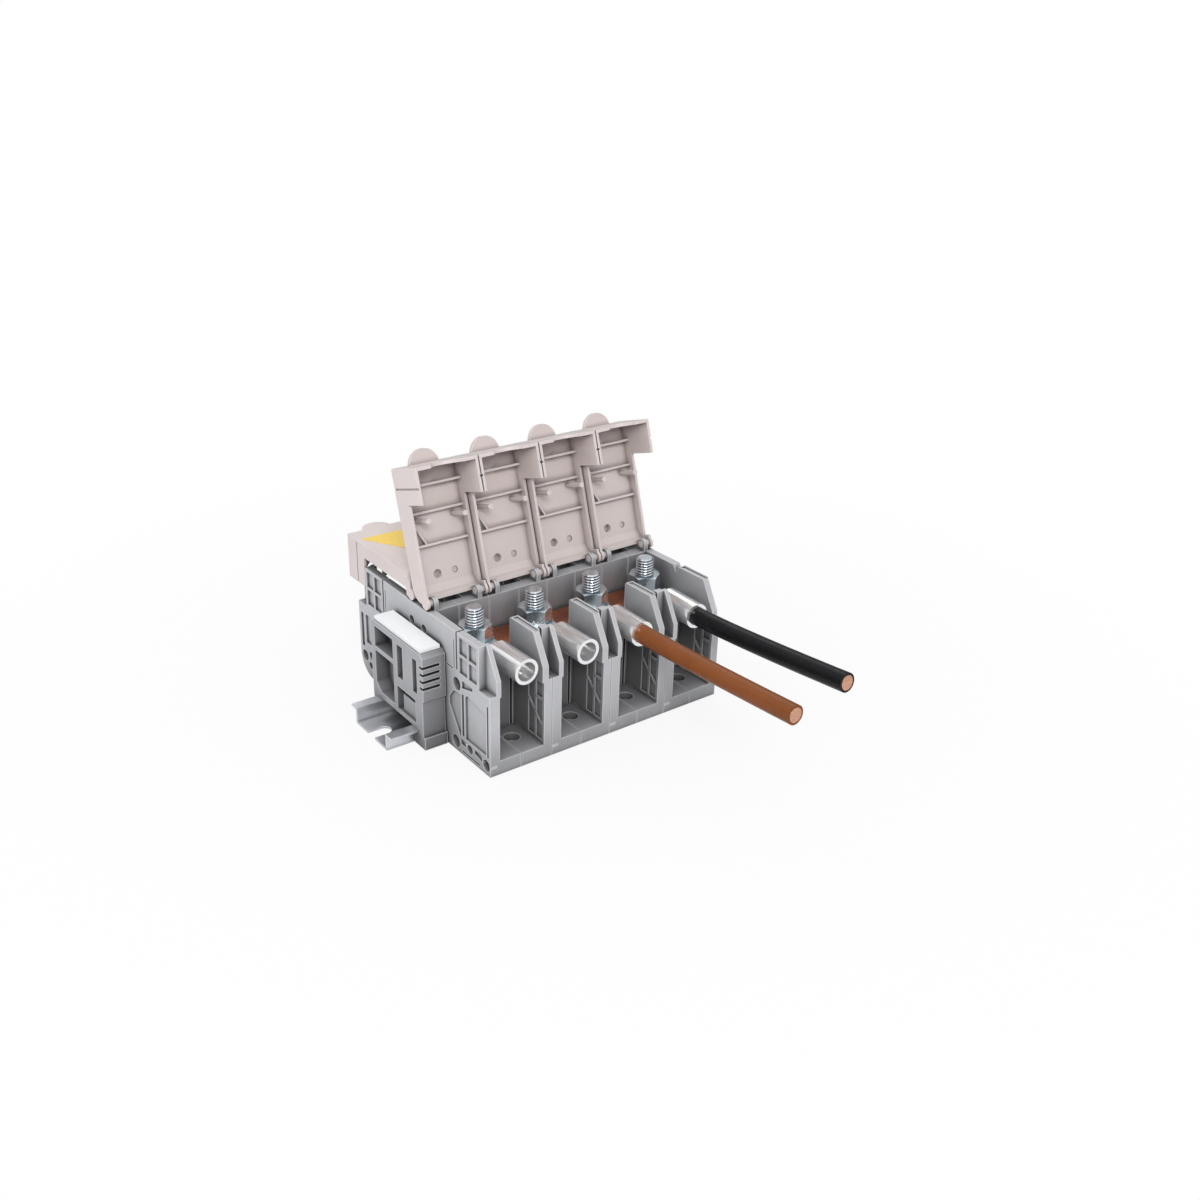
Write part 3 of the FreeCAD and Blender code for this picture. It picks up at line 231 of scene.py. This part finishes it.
def metal(name, colour, rough, stretch=(1, 1, 1), spread=0.12, grain=0.01, edge=0.2, scale=240.0,
          detail=4.0, reaches=((3.0, 0.4),), light=0.3, metallic=1.0, band=None):
    """Metal with stained patches, fine lines along one direction, soft edges, painted shade in recesses
    and a painted highlight on edges.

    A band names an attribute of the mesh that is 0 in a thread's root and 1 on its crest; by it the roots
    get painted shade.
    """
    made, tree, shader = material(name)
    low, mid, high = shades(colour, spread)
    stains = noise(tree, scale=120.0, detail=6.0, rough=0.65)
    clouds = ramp(tree, stains, [(0.25, low), (0.5, mid), (0.75, high)])
    # Painted shade in recesses and a painted highlight on outer edges
    colour = painted_shade_and_highlight(tree, clouds, reaches, light)
    # Painted shade in the thread's roots, darker than on its crests
    if band:
        crest = tree.nodes.new("ShaderNodeAttribute")
        crest.attribute_name = band
        shade = ramp(tree, crest.outputs["Fac"], [(0.1, 0.14), (0.8, 1.0)])
        colour = blended(tree, "MULTIPLY", 1.0, colour, shade)
    tree.links.new(colour, shader.inputs["Base Color"])
    lines = noise(tree, scale, detail, 0.15 * detail, stretch)
    swing = 0.03 * detail
    sheen = ramp(tree, lines, [(0.3, rough - swing), (0.7, rough + swing)])
    tree.links.new(sheen, shader.inputs["Roughness"])
    rounded = soft_edges(tree, edge) if edge else None
    tree.links.new(bump(tree, lines, grain, rounded), shader.inputs["Normal"])
    shader.inputs["Metallic"].default_value = metallic
    return made


def strand_ends(name, colour):
    """The cut end of a stranded core: round wire ends side by side, with painted shade in the gaps between
    them.
    """
    made, tree, shader = material(name)
    place = tree.nodes.new("ShaderNodeTexCoord")
    cells = tree.nodes.new("ShaderNodeTexVoronoi")
    cells.inputs["Scale"].default_value = 1250.0
    cells.inputs["Randomness"].default_value = 0.35
    tree.links.new(place.outputs["Object"], cells.inputs["Vector"])
    # Painted light and shade: each wire end lighter in its middle and darker towards the gaps
    low, mid, high = shades(colour, 0.35)
    wire_shade = ramp(tree, cells.outputs["Distance"], [(0.0, high), (0.45, mid), (0.75, low)])
    tree.links.new(wire_shade, shader.inputs["Base Color"])
    domes = ramp(tree, cells.outputs["Distance"], [(0.2, 1.0), (0.7, 0.0)])
    tree.links.new(bump(tree, domes, 0.25), shader.inputs["Normal"])
    sheen = ramp(tree, noise(tree, scale=700.0), [(0.3, 0.3), (0.7, 0.5)])
    tree.links.new(sheen, shader.inputs["Roughness"])
    shader.inputs["Metallic"].default_value = 0.6
    return made


def printed_film(name, colour):
    """Plain label film: even colour, faint print grain and a soft gloss."""
    made, tree, shader = material(name)
    low, mid, high = shades(colour, 0.04)
    print_grain = noise(tree, scale=900.0, detail=2.0)
    ink = ramp(tree, print_grain, [(0.35, low), (0.5, mid), (0.65, high)])
    tree.links.new(ink, shader.inputs["Base Color"])
    tree.links.new(bump(tree, noise(tree, scale=500.0), 0.008), shader.inputs["Normal"])
    shader.inputs["Roughness"].default_value = 0.38
    return made


# Reaches and light set each material's painted shade in recesses and painted highlight on edges
SHELL = plastic("shell grey", (0.475, 0.478, 0.495), 0.44, spread=0.06)
BRACKET = plastic("bracket grey", (0.345, 0.347, 0.365), 0.44, spread=0.06)
COVER = plastic("cover beige", (0.650, 0.576, 0.556), 0.42, spread=0.03, edge=0.3,
                reaches=((3.0, 0.45), (22.0, 0.85)), light=0.2)
STRIP = plastic("strip white", (0.88, 0.89, 0.90), 0.40, spread=0.02, reaches=((2.0, 0.6),), light=0.0)
LABEL = printed_film("label yellow", (0.86, 0.60, 0.10))
RAIL = metal("galvanised sheet", (0.80, 0.81, 0.83), 0.36, stretch=(0.05, 1, 1), grain=0.006)
ZINC = metal("zinc plate", (0.56, 0.65, 0.70), 0.26, spread=0.14, grain=0.003, edge=0.0,
             scale=150.0, detail=1.5, reaches=((1.5, 0.4),), light=0.6)
THREAD = metal("rolled thread", (0.74, 0.79, 0.84), 0.24, spread=0.08, grain=0.002, edge=0.0,
               scale=150.0, detail=1.5, reaches=(), light=0.0, band="crest")
TIN = metal("bright tin", (0.97, 0.97, 0.97), 0.18, spread=0.03, grain=0.002, edge=0.0,
            scale=90.0, detail=1.0, reaches=(), light=0.0, metallic=0.82)
COPPER = metal("drawn copper", (0.70, 0.26, 0.15), 0.36, stretch=(0.08, 1, 1), spread=0.25)
CORE = strand_ends("cut copper", (0.80, 0.42, 0.27))
BROWN = plastic("insulation brown", (0.205, 0.066, 0.021), 0.26, spread=0.10, grain=0.004,
                reaches=(), light=0.0, gloss=0.12)
BLACK = plastic("insulation black", (0.008, 0.008, 0.009), 0.28, spread=0.15, grain=0.004,
                reaches=(), light=0.0, gloss=0.15)

# The first start that a node's name matches gives its material.
BY_NAME = [
    ("mounting_rail", RAIL), ("end_bracket", BRACKET), ("marker_strip", STRIP), ("shell_", SHELL),
    ("conductor_bar", COPPER), ("cross_connection_bar", COPPER), ("stud_", ZINC), ("nut_", ZINC),
    ("washers", ZINC), ("cable_lug", TIN), ("cover_", COVER), ("label_", LABEL),
    ("cable_brown_insulation", BROWN), ("cable_black_insulation", BLACK), ("cable_", CORE),
]
for name, thing in nodes.items():
    finish = next(look for start, look in BY_NAME if name.startswith(start))
    thing.data.materials.clear()
    thing.data.materials.append(finish)


# Studs: a hexagon head in its pocket and a rolled thread, finer than in the solids

def mesh_piece(name, points, faces, look):
    """A smooth mesh from points in millimetres."""
    data = bpy.data.meshes.new(name)
    data.from_pydata([tuple(c * MM for c in p) for p in points], [], faces)
    data.update()
    data.polygons.foreach_set("use_smooth", [True] * len(data.polygons))
    data.materials.append(look)
    made = bpy.data.objects.new(name, data)
    bpy.context.collection.objects.link(made)
    return made


def rings(rows):
    """Points and faces of a closed tube: each row is a ring of as many points."""
    points = [p for row in rows for p in row]
    count = len(rows[0])
    faces = []
    for r in range(len(rows) - 1):
        for i in range(count):
            j = (i + 1) % count
            faces.append((r * count + i, r * count + j, (r + 1) * count + j, (r + 1) * count + i))
    faces.append(tuple(reversed(range(count))))
    faces.append(tuple(range((len(rows) - 1) * count, len(rows) * count)))
    return points, faces


def around(x, y, radius, turn, level):
    """A point at a turn, in radians, about a vertical axis."""
    return x + radius * math.cos(turn), y + radius * math.sin(turn), level


def thread_rows(x, y):
    """Rings of the thread from the deck to the bevelled tip, and how near each point is to a crest."""
    root = STUD_RADIUS - THREAD_DEPTH
    turns = [2 * math.pi * i / THREAD_STEPS for i in range(THREAD_STEPS)]
    rise = THREAD_PITCH / ROWS_PER_TURN
    rows = []
    crests = []
    level = DECK
    while level < STUD_TOP - LEVEL_SLACK:
        row = []
        for i, turn in enumerate(turns):
            phase = ((level - DECK) / THREAD_PITCH - i / THREAD_STEPS) % 1.0
            tooth = min(1.0, max(0.0, (abs(2 * phase - 1) - TOOTH_ROOT) / TOOTH_FLANK))
            crests.append(tooth)
            limit = STUD_RADIUS - max(0.0, level - (STUD_TOP - STUD_BEVEL))
            radius = min(root + THREAD_DEPTH * tooth, limit)
            row.append(around(x, y, radius, turn, level))
        rows.append(row)
        level += rise
    rows.append([around(x, y, STUD_RADIUS - STUD_BEVEL, turn, STUD_TOP) for turn in turns])
    return rows, crests


def head(x, y, base):
    """Points and faces of the hexagon head; its points are numbered from base."""
    corner = HEAD_ACROSS_FLATS / 2 / math.cos(math.pi / HEAD_SIDES)
    levels = ((corner, DECK - HEAD_HEIGHT), (corner, DECK - HEAD_BEVEL_HEIGHT), (HEAD_TOP_RADIUS, DECK))
    turns = [math.pi / HEAD_SIDES + 2 * math.pi * i / HEAD_SIDES for i in range(HEAD_SIDES)]
    points = [around(x, y, radius, turn, level) for radius, level in levels for turn in turns]
    faces = []
    for low in (base, base + HEAD_SIDES):
        high = low + HEAD_SIDES
        for i in range(HEAD_SIDES):
            j = (i + 1) % HEAD_SIDES
            faces.append((low + i, low + j, high + j, high + i))
    faces.append(tuple(base + i for i in reversed(range(HEAD_SIDES))))
    faces.append(tuple(base + 2 * HEAD_SIDES + i for i in range(HEAD_SIDES)))
    return points, faces


def threaded_stud(name, x, y):
    """An M8 stud that stands for the plain one of the solids."""
    rows, crests = thread_rows(x, y)
    points, faces = rings(rows)
    head_points, head_faces = head(x, y, len(points))
    made = mesh_piece(f"{name}_thread", points + head_points, faces + head_faces, THREAD)
    crests += [1.0] * (len(points) + len(head_points) - len(crests))
    made.data.attributes.new("crest", "FLOAT", "POINT").data.foreach_set("value", crests)
    made.data.set_sharp_from_angle(angle=math.radians(SHARP_ANGLE))
    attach(made, "root")
    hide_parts(name)


for k in range(1, BLOCKS + 1):
    middle = (k - 1 - BLOCKS / 2) * PITCH + PITCH / 2
    threaded_stud(f"stud_front_{k}", middle, -STUD_Y)
    threaded_stud(f"stud_rear_{k}", middle, STUD_Y)


# Cables: control points of their routes, in millimetres, as in the solids

def round_line(name, route, radius, finish):
    """A round bar along a smooth curve through its end points."""
    curve = bpy.data.curves.new(name, "CURVE")
    curve.dimensions = "3D"
    curve.resolution_u = CURVE_STEPS
    curve.bevel_depth = radius * MM
    curve.bevel_resolution = CURVE_ROUNDNESS
    curve.use_fill_caps = True
    spline = curve.splines.new("NURBS")
    spline.points.add(len(route) - 1)
    for point, spot in zip(spline.points, route):
        point.co = (*(c * MM for c in spot), 1)
    spline.order_u = 3
    spline.use_endpoint_u = True
    curve.materials.append(finish)
    made = bpy.data.objects.new(name, curve)
    bpy.context.collection.objects.link(made)
    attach(made, "root")
    return made


def cable(colour, look, points):
    """A stiff cable end with its core showing at the cut."""
    jacket = round_line(f"cable_{colour}", points, CABLE_RADIUS, look)
    last = Vector(points[-1])
    way = (last - Vector(points[-2])).normalized()
    cut = [tuple(last - way * CUT_DEPTH), tuple(last - way * CUT_DEPTH / 2), tuple(last + way * CUT_PROUD)]
    core = round_line(f"cable_{colour}_cut", cut, CUT_RADIUS, CORE)
    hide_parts(f"cable_{colour}_insulation")
    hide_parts(f"cable_{colour}_core")


cable("brown", BROWN, [(13.89, -52.2, 44.4), (13.1, -75.0, 44.4), (14.1, -142.5, 47.3)])
cable("black", BLACK, [(43.89, -52.2, 44.4), (43.1, -75.0, 44.4), (44.1, -139.5, 49.8)])


# Floor, light and camera

def floor_look():
    """White to the camera, fully so far off, with the shadow kept near the object."""
    made = bpy.data.materials.new("floor")
    made.use_nodes = True
    tree = made.node_tree
    tree.nodes.clear()
    out = tree.nodes.new("ShaderNodeOutputMaterial")
    plain = tree.nodes.new("ShaderNodeBsdfDiffuse")
    plain.inputs["Color"].default_value = (0.74, 0.74, 0.75, 1)
    glow = tree.nodes.new("ShaderNodeEmission")
    glow.inputs["Color"].default_value = (1, 1, 1, 1)
    glow.inputs["Strength"].default_value = 1.0
    place = tree.nodes.new("ShaderNodeTexCoord")
    distance = tree.nodes.new("ShaderNodeVectorMath")
    distance.operation = "LENGTH"
    tree.links.new(place.outputs["Object"], distance.inputs[0])
    fade = ramp(tree, distance.outputs["Value"], [(0.09, 0.86), (0.34, 1.0)])
    path = tree.nodes.new("ShaderNodeLightPath")
    share = tree.nodes.new("ShaderNodeMath")
    share.operation = "MULTIPLY"
    tree.links.new(path.outputs["Is Camera Ray"], share.inputs[0])
    tree.links.new(fade, share.inputs[1])
    mix = tree.nodes.new("ShaderNodeMixShader")
    tree.links.new(share.outputs[0], mix.inputs["Fac"])
    tree.links.new(plain.outputs[0], mix.inputs[1])
    tree.links.new(glow.outputs[0], mix.inputs[2])
    tree.links.new(mix.outputs[0], out.inputs["Surface"])
    return made


def studio_world():
    """White behind the object, and a soft sky that is dark near the horizon for what lights it."""
    made = bpy.data.worlds.new("studio")
    made.use_nodes = True
    tree = made.node_tree
    tree.nodes.clear()
    sky = tree.nodes.new("ShaderNodeBackground")
    sky.inputs["Color"].default_value = (0.97, 0.98, 1.0, 1)
    place = tree.nodes.new("ShaderNodeTexCoord")
    split = tree.nodes.new("ShaderNodeSeparateXYZ")
    tree.links.new(place.outputs["Generated"], split.inputs["Vector"])
    strength = ramp(tree, split.outputs["Z"],
                    [(0.0, 0.12), (0.15, 0.14), (0.4, 0.5), (0.72, 1.05), (1.0, 0.8)])
    tree.links.new(strength, sky.inputs["Strength"])
    white = tree.nodes.new("ShaderNodeBackground")
    white.inputs["Color"].default_value = (1, 1, 1, 1)
    white.inputs["Strength"].default_value = 1.0
    rays = tree.nodes.new("ShaderNodeLightPath")
    mix = tree.nodes.new("ShaderNodeMixShader")
    out = tree.nodes.new("ShaderNodeOutputWorld")
    tree.links.new(rays.outputs["Is Camera Ray"], mix.inputs["Fac"])
    tree.links.new(sky.outputs[0], mix.inputs[1])
    tree.links.new(white.outputs[0], mix.inputs[2])
    tree.links.new(mix.outputs[0], out.inputs["Surface"])
    return made


def lamp(name, spot, aim, size, power, colour=(1, 1, 1)):
    """A round soft lamp at a spot, aimed at a point; metres and watts."""
    data = bpy.data.lights.new(name, "AREA")
    data.shape = "DISK"
    data.size = size
    data.energy = power
    data.color = colour
    made = bpy.data.objects.new(name, data)
    made.location = spot
    made.rotation_euler = (Vector(aim) - Vector(spot)).to_track_quat("-Z", "Y").to_euler()
    bpy.context.collection.objects.link(made)


floor = bpy.data.objects.new("floor", bpy.data.meshes.new("floor"))
corners = [(x * FLOOR_HALF, y * FLOOR_HALF, 0) for x, y in ((-1, -1), (1, -1), (1, 1), (-1, 1))]
floor.data.from_pydata(corners, [], [(0, 1, 2, 3)])
floor.location.z = -FLOOR_DROP
floor.data.materials.append(floor_look())
bpy.context.collection.objects.link(floor)

bpy.context.scene.world = studio_world()
lamp("key", spot=(-0.55, -0.95, 0.80), aim=(0, 0, 0.04), size=0.45, power=9.0, colour=(1.0, 0.99, 0.98))
lamp("left", spot=(-1.10, 0.10, 0.50), aim=(0, 0, 0.04), size=0.6, power=2.7, colour=(0.98, 0.99, 1.0))
lamp("back", spot=(0.5, 0.8, 0.9), aim=(0, 0, 0.05), size=0.6, power=1.0)

camera = bpy.data.objects.new("camera", bpy.data.cameras.new("camera"))
camera.location = CAMERA_PLACE
camera.rotation_euler = (math.radians(90 - CAMERA_DIP), 0, math.radians(CAMERA_TURN))
camera.data.sensor_width = CAMERA_SENSOR
camera.data.lens = CAMERA_LENS
camera.data.shift_x, camera.data.shift_y = CAMERA_SHIFT
camera.data.clip_start = CAMERA_NEAR
bpy.context.collection.objects.link(camera)
bpy.context.scene.camera = camera
bpy.context.scene.view_settings.view_transform = "Standard"
